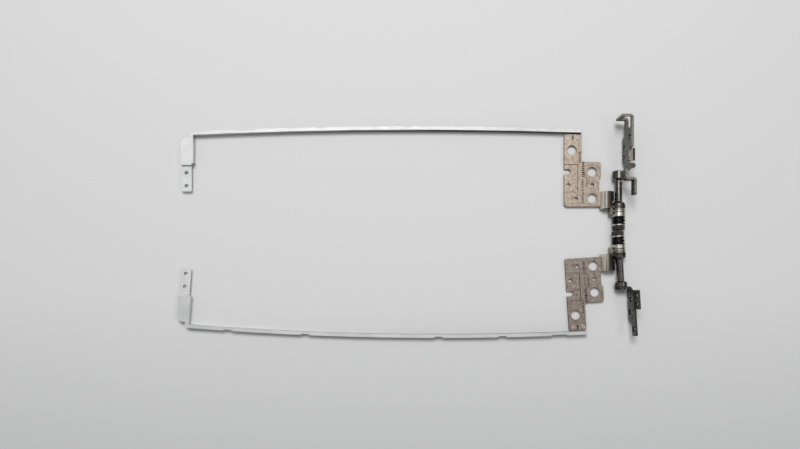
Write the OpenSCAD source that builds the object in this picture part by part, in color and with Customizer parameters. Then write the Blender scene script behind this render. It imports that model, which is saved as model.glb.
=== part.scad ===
// Laptop hinge pair: a right and a left friction hinge, each with a stamped lid plate, a long
// side rail for the edge of the screen, a turned shaft with its stack of washers and a bracket
// for the keyboard side. Both lie flat with the rails to -X, and the shafts nearly meet end on.
// Each hinge is drawn in its own frame: x = 0 and z = axis_z on the shaft axis, y = 0 on the
// outer face of the lid plate's ear, and y grows outwards along the shaft.

/* [Layout] */
// Place of the right hinge's shaft axis along X
right_x = 105.49; // [100:0.01:112]
// How much further along X the left hinge's shaft axis lies than the right one's
left_offset = 0.25; // [0:0.01:2]
// Place along Y where the right shaft's tip ends
tip_place = -0.84; // [-3:0.01:3]
// Gap between the tips of the two shafts
tip_gap = 0.47; // [0.45:0.01:2]
// How far the left hinge lies turned on the table, in degrees
left_turn = 3.5; // [0:0.5:5]

/* [Lid plate] */
// Thickness of the lid plate, its neck and its ear
lid_sheet = 1.2; // [1:0.1:1.4]
// Left edge of the plate from the shaft axis
plate_left = 26.5; // [25.5:0.1:28]
// Far end of the plate from the ear
plate_far = 35.9; // [35.5:0.1:37]
// Right edge of the plate's narrow stem from the shaft axis
stem_right = 17.85; // [17.2:0.05:18.2]
// Where the wide block of the plate ends and the stem begins
block_far = 22.2; // [21.5:0.1:24]
// Right edge of the wide block from the shaft axis
block_right = 8.3; // [8:0.1:8.6]
// Radius of the plate's outer corners
plate_corner = 1.2; // [0.8:0.1:1.6]
// Radius of the three screw holes
screw_hole_r = 2.4; // [1.8:0.1:2.5]
// Radius of the three locating holes
pin_hole_r = 0.95; // [0.7:0.05:1.1]
// Width of the slot in the plate's left edge
slot_w = 2.6; // [2:0.1:3]
// Depth of the coined pocket
pocket_deep = 0.25; // [0.1:0.05:0.4]
// Width of the neck that joins the plate to the ear
neck_w = 7.2; // [6:0.1:7.4]
// Outer radius of the neck's arch
arch_r = 3.4; // [3.2:0.05:3.5]

/* [Shaft] */
// Radius of the journal and its threaded end
journal_r = 2; // [1.8:0.05:2.1]
// Distance across the two flats of the keyed end
key_flats = 3.1; // [2.8:0.1:3.4]
// Radius of the collar and of the ear's eye
collar_r = 3.15; // [3:0.05:3.2]
// Length of the collar
collar_len = 0.95; // [0.8:0.05:1.2]
// Length of the cone behind the collar
cone_len = 1.4; // [1:0.1:1.6]
// Radius of the plain shaft
shaft_r = 1.7; // [1.5:0.05:1.9]
// Distance from the ear to the shaft's head
head_at = 12.6; // [12:0.05:14]
// Radius of the shaft's head
head_r = 3; // [2.8:0.05:3.1]
// Length of the right shaft's flatted head
right_head_len = 4.6; // [4:0.05:5]
// Length of the left shaft's round head
left_head_len = 2.9; // [2.6:0.05:3.4]
// Length of thread that shows past the nut
tip_len = 0.2; // [0.1:0.05:0.5]

/* [Washer stack] */
// Radius of the steel washers
washer_r = 3.1; // [2.9:0.05:3.15]
// Thickness of the friction washer next to the ear
friction_t = 0.7; // [0.5:0.05:0.9]
// Thickness of the stop washer
stop_t = 1.3; // [1:0.05:1.5]
// Thickness of the cam washer
cam_t = 2.2; // [1.3:0.05:2.4]
// Number of disc springs
spring_count = 4; // [2:1:4]
// Room along the shaft for each disc spring
spring_pitch = 0.9; // [0.8:0.05:1]
// Thickness of a disc spring's sheet
spring_t = 0.5; // [0.4:0.05:0.6]
// Thickness of the flat washer under the nut
flat_t = 0.8; // [0.6:0.05:1]
// Thickness of the lock nut
nut_t = 2; // [1.7:0.05:2.05]
// Width of the lock nut across its flats
nut_flats = 5.4; // [5:0.1:5.6]

/* [Side rails] */
// Sheet thickness of the side rails
rail_sheet = 0.6; // [0.5:0.05:0.7]
// Height of the side rails
rail_h = 3.4; // [3:0.1:4]
// Width of the rail's top flange
flange_w = 1.75; // [1.5:0.05:2]
// Gap from the plate's far end to the rail's upright web
rail_gap = 0.4; // [0.3:0.05:0.6]
// Length of the right rail
right_rail_len = 192.4; // [180:0.1:200]
// Radius of the right rail's bow
right_bow_r = 2375; // [2000:5:4000]
// Tilt of the right rail at its plate, outwards, in degrees
right_tilt = 2; // [1:0.1:2.4]
// Turn of the right rail's end leg, in degrees
right_leg_turn = 0; // [-1:0.5:2]
// Length of the left rail
left_rail_len = 197.3; // [180:0.1:200]
// Radius of the left rail's bow
left_bow_r = 1572; // [1400:2:3000]
// Tilt of the left rail at its plate, outwards, in degrees
left_tilt = -0.85; // [-1:0.05:1]
// Turn of the left rail's end leg, in degrees
left_leg_turn = 8; // [6:0.5:9]
// Width of the wide tab on the rail's end leg
tab_w = 6.1; // [5.6:0.1:7]
// Distance from the rail to the end of the wide tab
tab_end = 14.4; // [13:0.1:16]
// Length of the end lug with its two holes
lug_len = 13.4; // [12.6:0.1:15]
// Width of the end lug
lug_w = 5.2; // [4.6:0.1:5.6]
// How far the end lug steps down from the wide tab
lug_step = 1.2; // [0.9:0.1:1.6]
// Radius of the holes in the end lug
lug_hole_r = 0.95; // [0.7:0.05:1.2]
// Distance between the two holes in the end lug
lug_pitch = 6.4; // [5.5:0.1:7]

/* [Base brackets] */
// Sheet thickness of both base brackets
base_sheet = 1.15; // [1:0.05:1.2]
// Height of the right bracket's top edge above the table
right_top = 13; // [12.4:0.1:14]
// Distance from the shaft axis to the right bracket's blade
right_blade_x = 2.6; // [2.4:0.05:3]
// Far end of the right bracket's blade from the ear
right_blade_far = 42.9; // [41:0.1:45]
// Radius of the right bracket's screw holes
right_hole_r = 1.3; // [1:0.05:1.4]
// How far the right bracket's shelf and lug reach past the blade
shelf_reach = 1.85; // [1.4:0.05:2.2]
// Distance from the shaft axis to the left bracket's blade
left_blade_x = 3.1; // [3:0.05:3.6]
// Far end of the left bracket's blade from the ear
left_blade_far = 39.9; // [38.5:0.1:42]
// Height of the left bracket's blade edge above the table
left_top = 8.4; // [8.2:0.1:8.8]
// Height of the left bracket's raised block above the table
left_block_top = 12.4; // [12.2:0.1:14]
// Outward lean of the left bracket's blade, in degrees
left_lean = 6; // [4:0.5:7]
// Radius of the left bracket's screw holes
left_hole_r = 1.3; // [0.9:0.05:1.35]

/* [Hidden] */
// Running clearance between the shaft's journal and the bores that turn on it
run_clear = 0.05;
// Clearance of keyed and fixed pieces around the shaft
key_clear = 0.04;
// Clearance of a rivet in its hole
rivet_clear = 0.02;
// Free space between pieces that turn past each other
free_gap = 0.35;
// How far a cutting tool reaches past the sheet that it cuts
past = 1;
$fn = 64;
// Straight lengths that follow the bow of a rail
bow_chords = 12;

// The shaft axis lies a collar's radius above the table
axis_z = collar_r;
plate_z = rail_sheet;
plate_top = plate_z + lid_sheet;

// The neck's arch starts from the plate at the left and ends short of the plain shaft
arch_gap = 0.3;
arch_lift = 0.4;
arch_x = -(arch_r + shaft_r + arch_gap);
arch_z = plate_z + lid_sheet / 2 + arch_lift;
neck_left = arch_x - arch_r;
block_step = 0.8;
block_step_at = 14;
// Screw holes, locating holes and rivets as distances left of the axis and outwards of the ear
screw_holes = [[22.7, 28.1], [12.6, 17.3], [12.6, 4.2]];
pin_holes = [[24.45, 10.8], [12.5, 10.75], [20.6, 3.9]];
rivet_inset = 2;
rivet_y = plate_far - rivet_inset;
rivets = [[plate_left - rivet_inset, rivet_y], [stem_right + rivet_inset - 0.2, rivet_y]];
rivet_r = 0.6;
rivet_head_r = 1.05;
rivet_head_t = 0.25;
slot_y = 17.4;
slot_end = 23.2;
pocket_near = 7.1;
pocket_far = 20.9;
pocket_right = 19.75;

// Stack of washers from the ear's inner face towards the nut
friction_y = -lid_sheet;
stop_y = friction_y - friction_t;
cam_y = stop_y - stop_t;
spring_y = cam_y - cam_t;
flat_y = spring_y - spring_count * spring_pitch;
nut_y = flat_y - flat_t;
tip_y = nut_y - nut_t - tip_len;
// Places of the two hinges, from the tips of their shafts
right_y = tip_place - tip_y;
left_x = right_x + left_offset;
left_y = tip_place - tip_gap + tip_y * cos(left_turn);
// The stop washer's tab reaches back beside the friction washer and hooks on the ear's edge
tab_reach = 1.55;
tab_tall = 3;
spring_r = washer_r - 0.05;
chamfer = 0.25;

// Rail: the web stands at the far end of the plate, and its foot lies under the plate
web_y = plate_far + rail_gap;
rail_right = stem_right + 0.25;
foot_near = 3.9;
foot_y = plate_far - foot_near;
// Distances from the plate end of each rail to the notches in its flange
right_notches = [24, 87, 129, 163];
left_notches = [41.9, 73.6, 139.7, 178];
right_notch_deep = 0.45;
left_notch_deep = 0.6;
notch_len = 4.5;
slim_from = 9.7;
slim_to = 17.6;
slim_deep = 0.5;
tab_start = 1.1;
leg_corner_r = 1.9;
// How far the parts of the rail lap at its end corner
leg_lap = 0.15;
tab_corner = 2.5;
lug_corner = 0.8;
lug_skew = 0.2;
lug_hole_inset = 2.8;
lug_top = rail_h - lug_step;

// Right bracket: the root lies on the head's flat, and joggles lead to the blade and the tongue
flat_x = 0.1;
// Outer radius of the brackets' bends
fold_r = 1.5;
head_chamfer = 0.8;
right_head_end = head_at + right_head_len;
root_top = 12.3;
root_low = 0.9;
strip_low = 8;
tongue_x = 4.35;
tongue_near = 4.3;
tongue_hole_y = 7;
tongue_hole_r = 0.6;
blade_low = 3.5;
blade_belly = 1;
belly_near = 21.1;
belly_far = 33.9;
shelf_z = 8.5;
shelf_near = 21.2;
shelf_far = 27.1;
lug_near = 17.5;
lug_far = 20;
hook_reach = 4.2;
hook_low = 4;
hook_top = 12.4;
window_low = 6.5;
window_high = 11.4;
window_near = 37;
window_left = 0.3;
tenon_r = 1;
peen_r = 1.3;
peen_t = 0.4;
root_rivet_y = head_at + 1.7;
// Screw holes of the right bracket as distance from the ear and height above the table
right_holes = [[32.4, 10.3], [28.8, 3.1], [23.8, 3.1]];

// Left bracket: an ear on the end of the shaft turns into a leaning blade with a raised block
left_head_end = head_at + left_head_len;
left_tenon_r = 1.8;
left_peen_r = 2.2;
left_low = 2;
tip_low = 5;
ramp_from = 32;
ramp_to = 34.4;
block_near = 17.5;
block_end = 26.9;
block_joggle = 0.3;
lean_z = 2;
left_ear_top = 6.4;
left_holes = [[21.9, 5.6], [28.2, 4], [36.7, 6.7]];
left_notch = [21.9, 2];
left_notch_r = 0.8;
left_pin_holes = [[31, 6.1], [27.4, 7.3], [30, 7.4]];
left_pin_r = 0.45;
left_block_holes = [[20.1, 10.5], [24.5, 10.5]];

// Placing and shared shapes

module place_right() {
    translate([right_x, right_y, 0]) children();
}

module place_left() {
    translate([left_x, left_y, 0]) rotate([0, 0, left_turn]) mirror([0, 1, 0]) children();
}

// Children drawn along +Z from the origin come to lie along the shaft from y = from
module on_shaft(from = 0) {
    translate([0, from, axis_z]) rotate([-90, 0, 0]) children();
}

// A sheet whose outline is given as distance along the shaft and height, thick along X
module side_sheet(x, t = base_sheet) {
    translate([x, 0, 0]) rotate([90, 0, 90]) linear_extrude(t) children();
}

// A rectangle from one corner to the other
module rect(low, high) {
    translate(low) square([high[0] - low[0], high[1] - low[1]]);
}

// A box from one corner to the other
module block(low, high) {
    translate(low) cube([high[0] - low[0], high[1] - low[1], high[2] - low[2]]);
}

// A rectangle with round corners
module round_rect(low, high, r) {
    rect([low[0] + r, low[1]], [high[0] - r, high[1]]);
    rect([low[0], low[1] + r], [high[0], high[1] - r]);
    for (x = [low[0] + r, high[0] - r])
        for (y = [low[1] + r, high[1] - r])
            translate([x, y]) circle(r);
}

// What comes off an upright corner to leave the outside of a bend: the corner points along +X
// and +Y after a turn
module fold_cut(corner, turn, r = fold_r) {
    translate([corner[0], corner[1], 0]) rotate([0, 0, turn]) translate([-r, -r, -past])
        linear_extrude(2 * root_top) difference() {
            square(r + past);
            circle(r);
        }
}

// The keyed bore of a washer: a round hole with two flats
module key_bore(t) {
    intersection() {
        translate([0, 0, -past]) cylinder(r = journal_r + key_clear, h = t + 2 * past);
        half = key_flats / 2 + key_clear;
        block([-half, -2 * journal_r, -past], [half, 2 * journal_r, t + past]);
    }
}

// A flat steel washer with softened edges
module washer_blank(r, t) {
    edge = min(chamfer, t / 4);
    rotate_extrude()
        polygon([[0, 0], [r - edge, 0], [r, edge], [r, t - edge], [r - edge, t], [0, t]]);
}

// Lid plate, its neck and its ear, stamped and bent from one sheet

module plate_outline() {
    difference() {
        union() {
            round_rect([-plate_left, 0], [-stem_right, plate_far], plate_corner);
            round_rect([-plate_left, 0], [-block_right - block_step, block_far], plate_corner);
            round_rect([-plate_left, block_step_at], [-block_right, block_far], plate_corner);
            rect([-block_right - 2 * block_step, 0], [neck_left + lid_sheet, neck_w]);
            // Fillet in the corner between the stem and the block
            difference() {
                rect([-stem_right, block_far], [-stem_right + plate_corner, block_far + plate_corner]);
                translate([-stem_right + plate_corner, block_far + plate_corner]) circle(plate_corner);
            }
            rect([-stem_right - plate_corner, 0], [-stem_right + plate_corner, block_far]);
        }
        for (hole = screw_holes) translate([-hole[0], hole[1]]) circle(screw_hole_r);
        for (hole = pin_holes) translate([-hole[0], hole[1]]) circle(pin_hole_r);
        for (rivet = rivets) translate([-rivet[0], rivet[1]]) circle(rivet_r + rivet_clear);
        // Slot with a round end
        rect([-plate_left - past, slot_y - slot_w / 2], [-slot_end - slot_w / 2, slot_y + slot_w / 2]);
        translate([-slot_end - slot_w / 2, slot_y]) circle(slot_w / 2);
    }
}

// The side view of the ear: a round eye on the shaft and a web that joins it to the arch
module ear_outline() {
    translate([0, axis_z]) circle(collar_r);
    intersection() {
        translate([arch_x, arch_z]) circle(arch_r);
        rect([neck_left, plate_z], [arch_x + arch_r, arch_z + arch_r]);
    }
    rect([arch_x, plate_z], [-shaft_r, arch_z + arch_r]);
}

module lid_plate() {
    difference() {
        union() {
            translate([0, 0, plate_z]) linear_extrude(lid_sheet) plate_outline();
            // Neck: half a tube that rises from the plate and comes down beside the shaft
            translate([0, neck_w, 0]) rotate([90, 0, 0]) linear_extrude(neck_w)
                difference() {
                    translate([arch_x, arch_z]) circle(arch_r);
                    translate([arch_x, arch_z]) circle(arch_r - lid_sheet);
                    rect([neck_left - past, -2 * arch_r], [0, plate_z]);
                    rect([arch_x, -2 * arch_r], [0, arch_z]);
                }
            rotate([90, 0, 0]) linear_extrude(lid_sheet) ear_outline();
        }
        translate([0, 0, plate_top - pocket_deep]) linear_extrude(pocket_deep + past)
            rect([-plate_left - past, pocket_near], [-pocket_right, pocket_far]);
        on_shaft(-lid_sheet - past) cylinder(r = journal_r + run_clear, h = lid_sheet + 2 * past);
        // Room for the collar and the cone to turn
        on_shaft(0) cylinder(r = collar_r + free_gap, h = collar_len + cone_len + free_gap);
    }
}

// Side rail: a folded strip with an upright web, a flange on top, a foot and an end leg

function bow_angle(length, bow_r) = length / bow_r * 180 / PI;

// Children drawn at the rail's plate end with the rail running to -X come to lie at a distance
// along the bow
module along_rail(distance, bow_r, tilt) {
    translate([-rail_right, web_y, 0])
        rotate([0, 0, -tilt])
            translate([0, -bow_r, 0])
                rotate([0, 0, bow_angle(distance, bow_r)])
                    translate([0, bow_r, 0])
                        children();
}

// Point of a line that runs beside the bow, a distance along it and a distance outwards
function bow_point(distance, out, bow_r) =
    let (angle = bow_angle(distance, bow_r))
    [-(bow_r + out) * sin(angle), (bow_r + out) * cos(angle) - bow_r];

// Plan of a strip that follows the bow between two distances outwards from it
module bow_strip(length, bow_r, from, to) {
    polygon(concat(
        [for (i = [0:bow_chords]) bow_point(i * length / bow_chords, from, bow_r)],
        [for (i = [bow_chords:-1:0]) bow_point(i * length / bow_chords, to, bow_r)]));
}

// Children drawn at the rail's far end, with its end leg running to -Y, come to lie there
module at_rail_end(length, bow_r, tilt, leg_turn) {
    along_rail(length, bow_r, tilt)
        rotate([0, 0, leg_turn - bow_angle(length, bow_r) + tilt]) children();
}

// Plan of the upright web: the bow and the end leg
module web_plan(length, bow_r, tilt, leg_turn) {
    along_rail(0, bow_r, tilt) bow_strip(length + leg_lap, bow_r, 0, rail_sheet);
    at_rail_end(length, bow_r, tilt, leg_turn)
        rect([-rail_sheet, -tab_end + rail_sheet], [0, rail_sheet]);
}

// Plan of the flange on top: the bow, its round corner and the wide tab of the end leg
module flange_plan(length, bow_r, tilt, leg_turn) {
    along_rail(0, bow_r, tilt) bow_strip(length + leg_lap, bow_r, leg_lap, flange_w);
    at_rail_end(length, bow_r, tilt, leg_turn) {
        intersection() {
            circle(leg_corner_r);
            rect([-leg_corner_r, -tab_start], [-leg_lap, leg_corner_r]);
        }
        rect([-flange_w, -tab_start - tab_corner], [-rail_sheet / 2, rail_sheet / 2]);
        rect([-tab_w + tab_corner, -tab_end], [-rail_sheet / 2, -tab_start]);
        rect([-tab_w, -tab_end], [-rail_sheet / 2, -tab_start - tab_corner]);
        translate([-tab_w + tab_corner, -tab_start - tab_corner]) circle(tab_corner);
    }
}

// Step down from the wide tab to the lug with its two holes
module end_lug() {
    lug_left = -tab_w - lug_skew;
    lug_far_y = -tab_end - lug_len;
    difference() {
        union() {
            block([leg_lap - tab_w, -tab_end - rail_sheet, lug_top - rail_sheet],
                [lug_left + lug_w, -tab_end, rail_h]);
            translate([0, 0, lug_top - rail_sheet]) linear_extrude(rail_sheet) {
                rect([lug_left, -tab_end - lug_len / 2], [lug_left + lug_w, -tab_end]);
                round_rect([lug_left, lug_far_y], [lug_left + lug_w, -tab_end], lug_corner);
            }
        }
        for (i = [0, 1])
            translate([lug_left + lug_w / 2, lug_far_y + lug_hole_inset + i * lug_pitch, 0])
                cylinder(r = lug_hole_r, h = rail_h + past);
    }
}

// A notch with sloping ends in the edge of the flange
module flange_notch(length, deep) {
    translate([0, 0, rail_h - 2 * rail_sheet]) linear_extrude(3 * rail_sheet)
        polygon([[-length / 2 - past, flange_w + past], [-length / 2 + deep, flange_w - deep],
            [length / 2 - deep, flange_w - deep], [length / 2 + past, flange_w + past]]);
}

module side_rail(length, bow_r, tilt, leg_turn, notches, notch_deep) {
    difference() {
        union() {
            linear_extrude(rail_h) web_plan(length, bow_r, tilt, leg_turn);
            translate([0, 0, rail_h - rail_sheet]) linear_extrude(rail_sheet)
                flange_plan(length, bow_r, tilt, leg_turn);
            // Foot under the lid plate
            difference() {
                linear_extrude(rail_sheet)
                    rect([-plate_left, foot_y], [-rail_right, web_y + rail_sheet / 2]);
                for (rivet = rivets) translate([-rivet[0], rivet[1], -past])
                    cylinder(r = rivet_r + rivet_clear, h = rail_sheet + 2 * past);
            }
            at_rail_end(length, bow_r, tilt, leg_turn) end_lug();
        }
        for (distance = notches) along_rail(distance, bow_r, tilt) flange_notch(notch_len, notch_deep);
        along_rail((slim_from + slim_to) / 2, bow_r, tilt)
            flange_notch(slim_to - slim_from, slim_deep);
    }
}

// Two rivets that hold the rail's foot under the plate
module rail_rivets() {
    for (rivet = rivets) translate([-rivet[0], rivet[1], 0]) {
        cylinder(r = rivet_r, h = plate_top);
        translate([0, 0, plate_top]) cylinder(r = rivet_head_r, h = rivet_head_t);
    }
}

// Turned shaft: keyed and threaded end, collar, cone, plain shaft and head

module shaft_blank(head_end) {
    on_shaft(0) rotate_extrude() polygon([[0, tip_y], [journal_r - chamfer, tip_y],
        [journal_r, tip_y + chamfer], [journal_r, 0], [collar_r, 0], [collar_r, collar_len],
        [shaft_r, collar_len + cone_len], [shaft_r, head_at], [head_r, head_at + head_chamfer],
        [head_r, head_end - chamfer], [head_r - chamfer, head_end], [0, head_end]]);
}

// What is milled off to leave two flats on the journal's end
module flats_cut() {
    for (side = [0, 1]) mirror([side, 0, 0])
        block([key_flats / 2, tip_y - past, axis_z - 2 * journal_r],
            [2 * journal_r, friction_y, axis_z + 2 * journal_r]);
}

module right_shaft_shape() {
    difference() {
        shaft_blank(right_head_end);
        flats_cut();
        block([flat_x, head_at - past, -past], [2 * head_r, right_head_end + past, 3 * head_r]);
    }
    // Tenon through the bracket's root, peened over
    translate([flat_x, root_rivet_y, axis_z]) rotate([0, 90, 0]) {
        translate([0, 0, -past]) cylinder(r = tenon_r, h = base_sheet + past);
        translate([0, 0, base_sheet]) cylinder(r = peen_r, h = peen_t);
    }
}

module left_shaft_shape() {
    difference() {
        shaft_blank(left_head_end);
        flats_cut();
    }
    on_shaft(left_head_end - past) cylinder(r = left_tenon_r, h = base_sheet + past);
    on_shaft(left_head_end + base_sheet) cylinder(r = left_peen_r, h = peen_t);
}

// Washers, springs and nut

module friction_washer() {
    on_shaft(stop_y) difference() {
        washer_blank(washer_r - key_clear, friction_t);
        key_bore(friction_t);
    }
}

module stop_washer() {
    difference() {
        union() {
            on_shaft(cam_y) washer_blank(washer_r, stop_t);
            block([-washer_r - tab_reach, cam_y + chamfer, axis_z - tab_tall / 2],
                [-washer_r + 1, stop_y - chamfer, axis_z + tab_tall / 2]);
            block([-washer_r - tab_reach, cam_y - cam_t / 2, axis_z - tab_tall / 2],
                [-washer_r - free_gap, friction_y, axis_z + tab_tall / 2]);
        }
        on_shaft(cam_y - past) cylinder(r = journal_r + run_clear, h = stop_t + 2 * past);
    }
}

module cam_washer() {
    on_shaft(spring_y) difference() {
        washer_blank(washer_r, cam_t);
        key_bore(cam_t);
    }
}

module disc_springs() {
    dish = spring_pitch - spring_t;
    bore = journal_r + key_clear;
    for (i = [0:spring_count - 1])
        on_shaft(flat_y + i * spring_pitch)
            translate([0, 0, i % 2 == 0 ? 0 : spring_pitch]) mirror([0, 0, i % 2])
                rotate_extrude() polygon([[bore, 0], [spring_r, dish], [spring_r, spring_pitch],
                    [bore, spring_t]]);
}

module flat_washer() {
    on_shaft(nut_y) difference() {
        washer_blank(spring_r, flat_t);
        key_bore(flat_t);
    }
}

module lock_nut() {
    across_corners = nut_flats / cos(30);
    on_shaft(nut_y - nut_t) difference() {
        intersection() {
            cylinder(d = across_corners, h = nut_t, $fn = 6);
            washer_blank(across_corners / 2, nut_t);
        }
        translate([0, 0, -past]) cylinder(r = journal_r + key_clear, h = nut_t + 2 * past);
    }
}

// Base brackets

module right_blade_outline() {
    difference() {
        union() {
            round_rect([right_head_end, blade_low], [right_blade_far - base_sheet, right_top], 0.6);
            round_rect([belly_near, blade_belly], [belly_far, blade_low + 2], 1);
            rect([right_blade_far - 3, blade_low + 0.5], [right_blade_far, right_top - 0.6]);
        }
        for (hole = right_holes) translate(hole) circle(right_hole_r);
        // The sheet above the shelf and the lug is bent outwards, with a relief between them
        rect([right_head_end - past, shelf_z + base_sheet], [shelf_far, right_top + past]);
        rect([lug_far, shelf_z - 0.4], [shelf_near, right_top + past]);
    }
}

module right_bracket_shape() {
    blade_out = right_blade_x + base_sheet;
    difference() {
        union() {
            // Root on the head's flat
            side_sheet(flat_x) round_rect([head_at, root_low], [right_head_end, root_top], 0.5);
            side_sheet(flat_x) rect([head_at, strip_low], [right_head_end, root_top - 1]);
            // Joggle out to the blade
            block([flat_x, right_head_end - base_sheet, blade_low],
                [blade_out, right_head_end, shelf_z + base_sheet]);
            side_sheet(right_blade_x) right_blade_outline();
            // Shelf and lug bent outwards from the blade
            block([right_blade_x, shelf_near, shelf_z],
                [blade_out + shelf_reach, shelf_far, shelf_z + base_sheet]);
            translate([0, 0, shelf_z]) linear_extrude(base_sheet) {
                rect([right_blade_x, lug_near], [blade_out + shelf_reach / 2, lug_far]);
                translate([blade_out + shelf_reach / 2, (lug_near + lug_far) / 2])
                    circle((lug_far - lug_near) / 2);
            }
            // Hook at the far end
            block([blade_out - hook_reach - base_sheet, right_blade_far - base_sheet, hook_low],
                [blade_out, right_blade_far, hook_top]);
            // Strip and tongue that reach back beside the shaft
            block([flat_x, head_at - base_sheet, strip_low], [tongue_x + base_sheet, head_at, root_top]);
            block([flat_x, head_at - base_sheet, strip_low], [flat_x + base_sheet, head_at + 1, root_top]);
            side_sheet(tongue_x) round_rect([tongue_near, strip_low], [head_at, root_top], 0.5);
        }
        // Window through the blade and the hook
        block([window_left, window_near, window_low], [blade_out + past, right_blade_far + past, window_high]);
        translate([flat_x - past, root_rivet_y, axis_z]) rotate([0, 90, 0])
            cylinder(r = tenon_r + rivet_clear, h = base_sheet + 2 * past);
        translate([tongue_x - past, tongue_hole_y, (strip_low + root_top) / 2]) rotate([0, 90, 0])
            cylinder(r = tongue_hole_r, h = base_sheet + 2 * past);
        // Outsides of the bends
        fold_cut([blade_out, right_blade_far], 0);
        fold_cut([tongue_x + base_sheet, head_at], 0);
        fold_cut([flat_x, head_at - base_sheet], 180);
        fold_cut([flat_x, right_head_end], 90);
        fold_cut([blade_out, right_head_end - base_sheet], -90);
    }
}

// Outline of the left blade below its raised block
module left_blade_outline() {
    difference() {
        union() {
            polygon([[left_head_end, left_low], [ramp_from, left_low], [ramp_to, tip_low],
                [ramp_to + 1, left_top], [block_near, left_top], [block_near, left_ear_top],
                [left_head_end, left_ear_top]]);
            round_rect([ramp_to - 1, tip_low], [left_blade_far, left_top], 0.6);
            rect([ramp_to - 1, tip_low], [ramp_to + 1, left_top]);
        }
        for (hole = left_holes) translate(hole) circle(left_hole_r);
        for (hole = left_pin_holes) translate(hole) circle(left_pin_r);
        translate(left_notch) circle(left_notch_r);
    }
}

module left_block_outline() {
    difference() {
        union() {
            round_rect([block_near, left_top], [block_end, left_block_top], 0.8);
            rect([block_near, left_top - 0.6], [block_end, left_top + 1]);
        }
        for (hole = left_block_holes) translate(hole) circle(left_hole_r);
    }
}

// Children stand on the leaning plane of the left blade
module leaning() {
    translate([left_blade_x, 0, lean_z]) rotate([0, left_lean, 0])
        translate([-left_blade_x, 0, -lean_z]) children();
}

module left_bracket_shape() {
    difference() {
        union() {
            leaning() {
                side_sheet(left_blade_x) left_blade_outline();
                side_sheet(left_blade_x + block_joggle) left_block_outline();
            }
            // Ear on the end of the shaft
            translate([0, left_head_end + base_sheet, 0]) rotate([90, 0, 0])
                linear_extrude(base_sheet) {
                    translate([0, axis_z]) circle(head_r);
                    rect([0, axis_z - head_r + 0.6], [left_blade_x + 0.3, axis_z + head_r]);
                }
        }
        on_shaft(left_head_end - past)
            cylinder(r = left_tenon_r + rivet_clear, h = base_sheet + 2 * past);
        // Outside of the bend between the ear and the blade
        fold_cut([left_blade_x + base_sheet, left_head_end], -90);
    }
}

// One module for each piece

steel = [0.72, 0.72, 0.70];
dark_steel = [0.27, 0.27, 0.28];

module right_lid_plate() {
    color([0.62, 0.56, 0.49]) place_right() lid_plate();
}

module left_lid_plate() {
    color([0.52, 0.47, 0.42]) place_left() lid_plate();
}

module right_side_rail() {
    color([0.78, 0.79, 0.80]) place_right()
        side_rail(right_rail_len, right_bow_r, right_tilt, right_leg_turn, right_notches,
            right_notch_deep);
}

module left_side_rail() {
    color([0.74, 0.75, 0.77]) place_left()
        side_rail(left_rail_len, left_bow_r, left_tilt, left_leg_turn, left_notches,
            left_notch_deep);
}

module right_rail_rivets() {
    color(steel) place_right() rail_rivets();
}

module left_rail_rivets() {
    color(steel) place_left() rail_rivets();
}

module right_shaft() {
    color([0.33, 0.32, 0.31]) place_right() right_shaft_shape();
}

module left_shaft() {
    color([0.33, 0.32, 0.31]) place_left() left_shaft_shape();
}

module right_base_bracket() {
    color(dark_steel) place_right() right_bracket_shape();
}

module left_base_bracket() {
    color(dark_steel) place_left() left_bracket_shape();
}

module right_friction_washer() {
    color([0.60, 0.58, 0.52]) place_right() friction_washer();
}

module left_friction_washer() {
    color([0.60, 0.58, 0.52]) place_left() friction_washer();
}

module right_stop_washer() {
    color([0.66, 0.66, 0.60]) place_right() stop_washer();
}

module left_stop_washer() {
    color([0.66, 0.66, 0.60]) place_left() stop_washer();
}

module right_cam_washer() {
    color(steel) place_right() cam_washer();
}

module left_cam_washer() {
    color(steel) place_left() cam_washer();
}

module right_disc_springs() {
    color([0.08, 0.08, 0.10]) place_right() disc_springs();
}

module left_disc_springs() {
    color([0.08, 0.08, 0.10]) place_left() disc_springs();
}

module right_flat_washer() {
    color(steel) place_right() flat_washer();
}

module left_flat_washer() {
    color(steel) place_left() flat_washer();
}

module right_lock_nut() {
    color([0.12, 0.12, 0.13]) place_right() lock_nut();
}

module left_lock_nut() {
    color([0.12, 0.12, 0.13]) place_left() lock_nut();
}

right_lid_plate();
right_side_rail();
right_rail_rivets();
right_shaft();
right_base_bracket();
right_friction_washer();
right_stop_washer();
right_cam_washer();
right_disc_springs();
right_flat_washer();
right_lock_nut();
left_lid_plate();
left_side_rail();
left_rail_rivets();
left_shaft();
left_base_bracket();
left_friction_washer();
left_stop_washer();
left_cam_washer();
left_disc_springs();
left_flat_washer();
left_lock_nut();
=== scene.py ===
import math

import bmesh
import bpy
from mathutils import Matrix, Vector


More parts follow.
